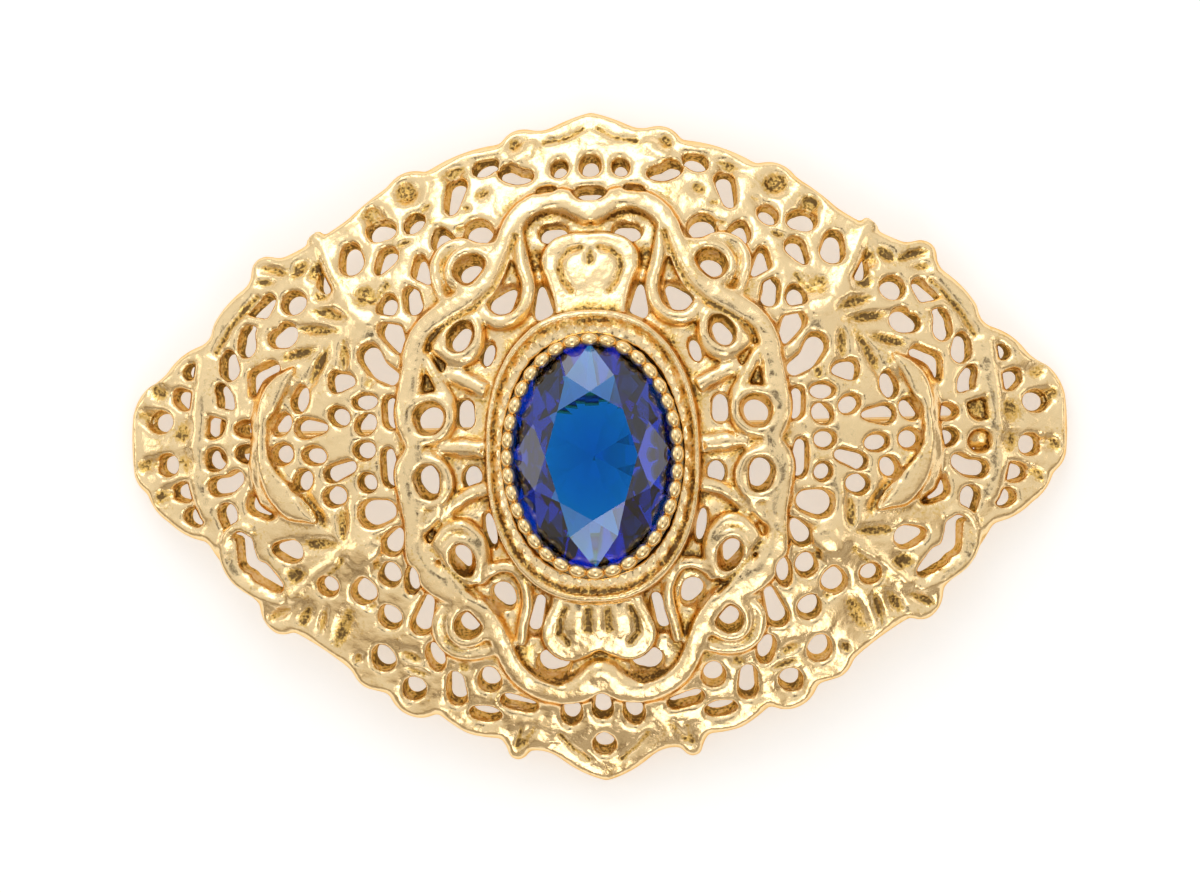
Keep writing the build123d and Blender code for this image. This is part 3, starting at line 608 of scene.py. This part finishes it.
past_cup, within_collet, band = cove_band()
in_cove = (past_cup > -UNDER_BEADS) & (within_collet > 0) & (band < COVE_SHARE)
in_cove &= (normals[:, 2] > COVE_FACING) & (places[:, 2] > COVE_LOW - COVE_REACH_DOWN)
around = numpy.arctan2((places[:, 1] - SETTING_Y) / CUP_HALF[1], places[:, 0] / CUP_HALF[0])
outward = numpy.clip(band / COVE_SHARE, 0, 1)
flutes = FLUTE_DEPTH * (0.5 + 0.5 * numpy.cos(FLUTES * around)) * numpy.sin(pi * outward)
cove = COVE_LOW + (COVE_HIGH - COVE_LOW) * outward**COVE_CURVE
places[:, 2] += in_cove * (cove - flutes - places[:, 2])
put_places(casting, places)
apply_modifier(casting, "SMOOTH", factor=0.5, iterations=1)

CASTING_TRIANGLES = 196000
triangles = sum(len(face.vertices) - 2 for face in casting.data.polygons)
apply_modifier(casting, "DECIMATE", ratio=min(1, CASTING_TRIANGLES / triangles))
# Only the one skin is kept, without the loose slivers that thinning leaves beside it
bpy.ops.object.mode_set(mode="EDIT")
bpy.ops.mesh.select_mode(type="VERT")
bpy.ops.mesh.select_all(action="DESELECT")
bpy.ops.object.mode_set(mode="OBJECT")
max(casting.data.vertices, key=lambda point: point.co.z).select = True
bpy.ops.object.mode_set(mode="EDIT")
bpy.ops.mesh.select_linked()
bpy.ops.mesh.select_all(action="INVERT")
bpy.ops.mesh.delete(type="VERT")
bpy.ops.object.mode_set(mode="OBJECT")
only(casting)
bpy.ops.object.shade_smooth()

# Painted shade in the hollows, kept for the plating: how deep each point lies among its neighbours,
# 0 on a crest, 1 in a pit
SPREAD = 7
FULL_HOLLOW = 0.13
HOLLOW_SHADE = 0.6
PIT_SHADE = 0.3
LINE_SHADE = 0.95
SHADE_ON_WALLS = 0.46
DEEP_SHADE = 0.26
DEEP_START = 0.3
DEEPEST_SHADE = 0.74
SHADE_FACING = 0.2
SHADE_BLEND = 0.3
SHADE_LOWEST = -1.2
SHADE_WALL_BLEND = 0.75
# The cove's painted shade is darkest this far inside its outer edge, and darker below the stone
# than above
COVE_SHADE = 0.84
COVE_SHADE_TILT = 0.14
COVE_SHADE_INSET = 0.14
COVE_SHADE_WIDTH = 0.3
COVE_SHADE_INNER = -0.2
COVE_SHADE_OUTER = 0.15
COVE_SHADE_LOWEST = -0.3
COVE_SHADE_SPAN = 8
places, normals = mesh_places(casting)
links = numpy.empty(len(casting.data.edges) * 2, int)
casting.data.edges.foreach_get("vertices", links)
links = links.reshape(-1, 2)
ends = numpy.concatenate((links[:, 0], links[:, 1]))
others = numpy.concatenate((links[:, 1], links[:, 0]))
count = numpy.maximum(numpy.bincount(ends, minlength=len(places)), 1)
level = places.copy()
for _ in range(SPREAD):
    sums = [numpy.bincount(ends, level[others, axis], len(places)) for axis in range(3)]
    level = (numpy.array(sums) / count).T
hollow = ((level - places) * normals).sum(axis=1)
upright = uprightness(places, normals)
height = above_dome(places)
topside = numpy.clip((upright - SHADE_FACING) / SHADE_BLEND, 0, 1) * (height > SHADE_LOWEST)
wall = numpy.clip(1 - numpy.abs(upright) / SHADE_WALL_BLEND, 0, 1)
_, within_collet, band = cove_band()
# Past the collet's edge the band is set to 2, which is outside it
band = numpy.where(within_collet > 0, band, 2)
in_cove = (band > COVE_SHADE_INNER) & (band < COVE_SHARE + COVE_SHADE_OUTER)
in_cove &= height > COVE_SHADE_LOWEST
# Painted shade round the inside of the collet's rim, darker below the stone than above
cove_shade = numpy.clip(1 - numpy.abs(band - COVE_SHARE + COVE_SHADE_INSET) / COVE_SHADE_WIDTH, 0, 1)
upwards = numpy.clip((places[:, 1] - SETTING_Y) / COVE_SHADE_SPAN, -1, 1)
cove_shade *= COVE_SHADE - COVE_SHADE_TILT * upwards
# Painted shade: hollows, pits, engraved lines and gap walls are darkened, deep walls the most
depth = numpy.clip(hollow / FULL_HOLLOW, 0, 1) * HOLLOW_SHADE
depth = depth + topside * (pit_depth() * PIT_SHADE + line_depth() * LINE_SHADE)
depth += wall * (SHADE_ON_WALLS + DEEP_SHADE * numpy.clip(-height - DEEP_START, 0, 1))
depth = numpy.where(in_cove, cove_shade, numpy.minimum(depth, DEEPEST_SHADE))
recess = casting.data.attributes.new("recess", "FLOAT", "POINT")
recess.data.foreach_set("value", numpy.clip(depth, 0, 1))


def plated_surface():
    """Node group for plating with painted shade: warm, then dark in the recesses, with a soft
    hand-finished surface.
    """
    group = bpy.data.node_groups.new("plated surface", "ShaderNodeTree")
    face = group.interface
    # The wall and pit colours are painted shade, laid on where the recess map is high
    face.new_socket("Crest colour", in_out="INPUT", socket_type="NodeSocketColor")
    face.new_socket("Wall colour", in_out="INPUT", socket_type="NodeSocketColor")
    face.new_socket("Pit colour", in_out="INPUT", socket_type="NodeSocketColor")
    face.new_socket("Smoothest", in_out="INPUT", socket_type="NodeSocketFloat")
    face.new_socket("Roughest", in_out="INPUT", socket_type="NodeSocketFloat")
    face.new_socket("Colour", in_out="OUTPUT", socket_type="NodeSocketColor")
    face.new_socket("Roughness", in_out="OUTPUT", socket_type="NodeSocketFloat")
    face.new_socket("Height", in_out="OUTPUT", socket_type="NodeSocketFloat")
    add, link = group.nodes.new, group.links.new
    given, given_out = add("NodeGroupInput"), add("NodeGroupOutput")
    place = add("ShaderNodeTexCoord")
    broad, fine, grain = [add("ShaderNodeTexNoise") for _ in range(3)]
    for texture, scale, detail in ((broad, 450, 2), (fine, 1100, 3), (grain, 4000, 3)):
        texture.inputs["Scale"].default_value = scale
        texture.inputs["Detail"].default_value = detail
        link(place.outputs["Object"], texture.inputs["Vector"])
    recess = add("ShaderNodeAttribute")
    recess.attribute_name = "recess"

    def multiply_add(value, factor, more):
        """One value times a factor plus more. Each is an output or a plain number."""
        sum_of = add("ShaderNodeMath")
        sum_of.operation = "MULTIPLY_ADD"
        for slot, source in zip(sum_of.inputs, (value, factor, more)):
            if isinstance(source, float):
                slot.default_value = source
            else:
                link(source, slot)
        return sum_of.outputs["Value"]

    # Noise makes the edges of the painted shade in the recesses patchy and grainy before they turn
    # warm, then dark
    patchy = multiply_add(broad.outputs["Fac"], 1.1, recess.outputs["Fac"])
    patchy_shade = multiply_add(grain.outputs["Fac"], 1.3, patchy)
    low, deep = add("ShaderNodeMapRange"), add("ShaderNodeMapRange")
    for span, least, most in ((low, 1.35, 1.75), (deep, 1.78, 1.98)):
        span.inputs["From Min"].default_value = least
        span.inputs["From Max"].default_value = most
        link(patchy_shade, span.inputs["Value"])
    warmer, darker = add("ShaderNodeMix"), add("ShaderNodeMix")
    warmer.data_type = darker.data_type = "RGBA"
    link(low.outputs["Result"], warmer.inputs["Factor"])
    link(given.outputs["Crest colour"], warmer.inputs[6])
    link(given.outputs["Wall colour"], warmer.inputs[7])
    link(deep.outputs["Result"], darker.inputs["Factor"])
    link(warmer.outputs[2], darker.inputs[6])
    link(given.outputs["Pit colour"], darker.inputs[7])
    link(darker.outputs[2], given_out.inputs["Colour"])
    worn = add("ShaderNodeMapRange")
    link(fine.outputs["Fac"], worn.inputs["Value"])
    worn.inputs["From Min"].default_value = 0.3
    worn.inputs["From Max"].default_value = 0.7
    link(given.outputs["Smoothest"], worn.inputs["To Min"])
    link(given.outputs["Roughest"], worn.inputs["To Max"])
    # A recess is rougher than a crest, and its grain stands out more
    rougher = multiply_add(recess.outputs["Fac"], 0.22, worn.outputs["Result"])
    link(rougher, given_out.inputs["Roughness"])
    gritty = multiply_add(recess.outputs["Fac"], 0.45, 0.06)
    waves = multiply_add(fine.outputs["Fac"], 0.14, broad.outputs["Fac"])
    uneven = multiply_add(grain.outputs["Fac"], gritty, waves)
    link(uneven, given_out.inputs["Height"])
    return group


surface_of_plating = plated_surface()


def plated_metal(name, crest, wall, pit, smoothest, roughest, bump):
    """Plated metal with the shared surface and its own values."""
    material = bpy.data.materials.new(name)
    material.use_nodes = True
    add, link = material.node_tree.nodes.new, material.node_tree.links.new
    shader = material.node_tree.nodes["Principled BSDF"]
    shader.inputs["Metallic"].default_value = 1.0
    shader.inputs["Specular Tint"].default_value = (0.95, 0.7, 0.38, 1)
    surface = add("ShaderNodeGroup")
    surface.node_tree = surface_of_plating
    surface.inputs["Crest colour"].default_value = (*crest, 1)
    surface.inputs["Wall colour"].default_value = (*wall, 1)
    surface.inputs["Pit colour"].default_value = (*pit, 1)
    surface.inputs["Smoothest"].default_value = smoothest
    surface.inputs["Roughest"].default_value = roughest
    height = add("ShaderNodeBump")
    height.inputs["Strength"].default_value = bump
    height.inputs["Distance"].default_value = 0.0004
    link(surface.outputs["Colour"], shader.inputs["Base Color"])
    link(surface.outputs["Roughness"], shader.inputs["Roughness"])
    link(surface.outputs["Height"], height.inputs["Height"])
    link(height.outputs["Normal"], shader.inputs["Normal"])
    return material


# The wall and pit colours are painted shade on the casting: the warm tone of the gap walls and the
# dark of its deepest hollows
CREST_GOLD = (0.975, 0.745, 0.42)
WALL_SHADE_GOLD = (0.82, 0.53, 0.15)
PIT_BROWN = (0.2, 0.12, 0.045)
casting_gold = plated_metal("casting_gold", CREST_GOLD, WALL_SHADE_GOLD, PIT_BROWN,
                            smoothest=0.16, roughest=0.28, bump=0.7)
casting.data.materials.clear()
casting.data.materials.append(casting_gold)
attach(casting, "brooch")
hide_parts("filigree_plate")

# Beaded cup
# The stone sits in an open cup that is pressed into the collet. Its upper edge is a row of
# beads, raised from the same metal, that nearly touch and hold the stone down.
BEADS = 36
BEAD_LINE = (6.75, 9.25)
BEAD_LIFT = 0.35
BEAD_RADIAL = 0.54
BEAD_HEIGHT = 0.52
BEAD_SHARE = 0.52
LINE_STEPS = 3600
collet_top = plate_high[2] / MM
beads = []
fine_turns = numpy.linspace(0, 2 * pi, LINE_STEPS + 1)
steps = numpy.hypot(
    BEAD_LINE[0] * numpy.sin(fine_turns[1:]), BEAD_LINE[1] * numpy.cos(fine_turns[1:]))
lengths = numpy.concatenate(([0], numpy.cumsum(steps) * 2 * pi / LINE_STEPS))
pitch = lengths[-1] / BEADS
for step in range(BEADS):
    angle = numpy.interp(pitch * step, lengths, fine_turns)
    x, y = BEAD_LINE[0] * cos(angle), BEAD_LINE[1] * sin(angle)
    run_x, run_y = -BEAD_LINE[0] * sin(angle), BEAD_LINE[1] * cos(angle)
    bpy.ops.object.select_all(action="DESELECT")
    bpy.ops.mesh.primitive_uv_sphere_add(segments=16, ring_count=10, radius=MM)
    bead = bpy.context.object
    turn = Matrix.Rotation(atan2(run_y, run_x), 4, "Z")
    size = Matrix.Diagonal((pitch * BEAD_SHARE, BEAD_RADIAL, BEAD_HEIGHT, 1))
    middle = Vector((x, SETTING_Y + y, collet_top + BEAD_LIFT)) * MM
    bead.data.transform(Matrix.Translation(middle) @ turn @ size)
    beads.append(bead)
beads = joined(beads, "setting_beads")
only(beads)
bpy.ops.object.shade_smooth()
cup_gold = plated_metal("cup_gold", (0.97, 0.73, 0.38), (0.84, 0.48, 0.1), PIT_BROWN,
                        smoothest=0.14, roughest=0.26, bump=0.25)
beads.data.materials.append(cup_gold)
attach(beads, "brooch")
nodes["stone_setting"].data.materials.clear()
nodes["stone_setting"].data.materials.append(cup_gold)

# Pin and rivet
# The pin is drawn brass wire with a filed point, plated with the rest and brighter than it.
# The rivet through the lugs is the same wire.
wire_gold = plated_metal("wire_gold", (0.95, 0.73, 0.4), (0.82, 0.55, 0.2), PIT_BROWN,
                         smoothest=0.14, roughest=0.24, bump=0.15)
for name in ("pin_stem", "hinge_rivet"):
    nodes[name].data.materials.clear()
    nodes[name].data.materials.append(wire_gold)

# Stone
# One oval brilliant of blue glass, cut in flat facets and polished on all of them.
blue_glass = bpy.data.materials.new("blue_glass")
blue_glass.use_nodes = True
tree = blue_glass.node_tree
glass = tree.nodes["Principled BSDF"]
glass.inputs["Base Color"].default_value = (0.06, 0.52, 0.95, 1)
glass.inputs["Roughness"].default_value = 0.0
glass.inputs["IOR"].default_value = 1.66
glass.inputs["Transmission Weight"].default_value = 1.0
glass.inputs["Specular IOR Level"].default_value = 0.95
glass.inputs["Specular Tint"].default_value = (0.76, 0.78, 1.0, 1)
glass.inputs["Coat Weight"].default_value = 0.42
glass.inputs["Coat Roughness"].default_value = 0.0
glass.inputs["Coat IOR"].default_value = 1.9
tint = tree.nodes.new("ShaderNodeVolumeAbsorption")
tint.inputs["Color"].default_value = (0.0, 0.7, 0.95, 1)
tint.inputs["Density"].default_value = 600
tree.links.new(tint.outputs["Volume"], tree.nodes["Material Output"].inputs["Volume"])
nodes["stone"].data.materials.clear()
nodes["stone"].data.materials.append(blue_glass)

# Floor, light and camera
# The brooch lies on plain white paper under soft studio light, seen from almost straight above.
bpy.ops.object.select_all(action="DESELECT")
bpy.ops.mesh.primitive_plane_add(size=3)
floor = bpy.context.object
floor.name = "floor"
paper = bpy.data.materials.new("paper")
paper.use_nodes = True
sheet = paper.node_tree.nodes["Principled BSDF"]
sheet.inputs["Base Color"].default_value = (0.75, 0.755, 0.77, 1)
sheet.inputs["Roughness"].default_value = 0.9
sheet.inputs["Emission Color"].default_value = (1, 1, 1, 1)
sheet.inputs["Emission Strength"].default_value = 0.42
floor.data.materials.append(paper)

scene = bpy.context.scene
scene.view_settings.view_transform = "Standard"
world = bpy.data.worlds.new("studio")
world.use_nodes = True
scene.world = world
sky = world.node_tree
air = sky.nodes["Background"]
direction = sky.nodes.new("ShaderNodeTexCoord")
towards_key = sky.nodes.new("ShaderNodeVectorMath")
towards_key.operation = "DOT_PRODUCT"
towards_key.inputs[1].default_value = Vector((-0.1, 0.45, 0.88)).normalized()
ramp = sky.nodes.new("ShaderNodeValToRGB")
sky.links.new(direction.outputs["Generated"], towards_key.inputs[0])
sky.links.new(towards_key.outputs["Value"], ramp.inputs["Fac"])
# Glow of the studio: how far a direction turns towards the key light, and the colour there
GLOW = [
    (0.0, (0.5, 0.44, 0.36)), (0.1, (0.45, 0.39, 0.31)), (0.14, (0.1, 0.055, 0.018)),
    (0.18, (0.1, 0.055, 0.018)), (0.24, (0.56, 0.47, 0.35)), (0.45, (0.74, 0.67, 0.56)),
    (0.6, (0.84, 0.81, 0.76)), (0.8, (0.87, 0.86, 0.83)), (1.0, (1.0, 0.99, 0.97)),
]
stops = ramp.color_ramp.elements
stops[0].position, stops[1].position = GLOW[0][0], GLOW[-1][0]
for position, _ in GLOW[1:-1]:
    stops.new(position)
for stop, (_, colour) in zip(stops, GLOW):
    stop.color = (*colour, 1)
# The light has a dark hole straight above the brooch, as a lens leaves in it
parts = sky.nodes.new("ShaderNodeSeparateXYZ")
sky.links.new(direction.outputs["Generated"], parts.inputs["Vector"])
lens_hole = sky.nodes.new("ShaderNodeMapRange")
lens_hole.inputs["From Min"].default_value = 0.98
lens_hole.inputs["From Max"].default_value = 0.99
sky.links.new(parts.outputs["Z"], lens_hole.inputs["Value"])
shaded = sky.nodes.new("ShaderNodeMix")
shaded.data_type = "RGBA"
shaded.inputs[7].default_value = (0.06, 0.045, 0.035, 1)
sky.links.new(lens_hole.outputs["Result"], shaded.inputs["Factor"])
sky.links.new(ramp.outputs["Color"], shaded.inputs[6])
sky.links.new(shaded.outputs[2], air.inputs["Color"])
air.inputs["Strength"].default_value = 0.92


def softbox(name, place, size, power):
    """Square area light that looks at the brooch."""
    lamp = bpy.data.lights.new(name, "AREA")
    lamp.size = size
    lamp.energy = power
    holder = bpy.data.objects.new(name, lamp)
    bpy.context.collection.objects.link(holder)
    holder.location = place
    holder.rotation_euler = (-Vector(place)).to_track_quat("-Z", "Y").to_euler()


softbox("softbox_top", (-0.12, 0.72, 0.66), 0.5, 1.4)
softbox("softbox_left", (-0.8, 0.1, 0.44), 0.32, 0.35)
softbox("softbox_right", (0.8, 0.1, 0.44), 0.32, 0.3)
softbox("softbox_front", (0.12, -0.6, 0.72), 0.4, 1.0)

# Camera: a long lens leaning 3.2 degrees towards the hinge, rolled by 1.4 degrees
LEAN = 0.056
ROLL = 1.4
DISTANCE = 1.0
FRAME_WIDTH = 0.096
SENSOR = 36
across = Vector((cos(radians(ROLL)), -sin(radians(ROLL)), -LEAN)).normalized()
upward = Vector((sin(radians(ROLL)), cos(radians(ROLL)), 0))
backward = across.cross(upward).normalized()
upward = backward.cross(across)
lens = bpy.data.cameras.new("camera")
lens.sensor_width = SENSOR
lens.lens = SENSOR * DISTANCE / FRAME_WIDTH
lens.clip_start = 0.01
camera = bpy.data.objects.new("camera", lens)
bpy.context.collection.objects.link(camera)
camera.matrix_world = Matrix((across, upward, backward)).transposed().to_4x4()
camera.location = backward * DISTANCE
scene.camera = camera
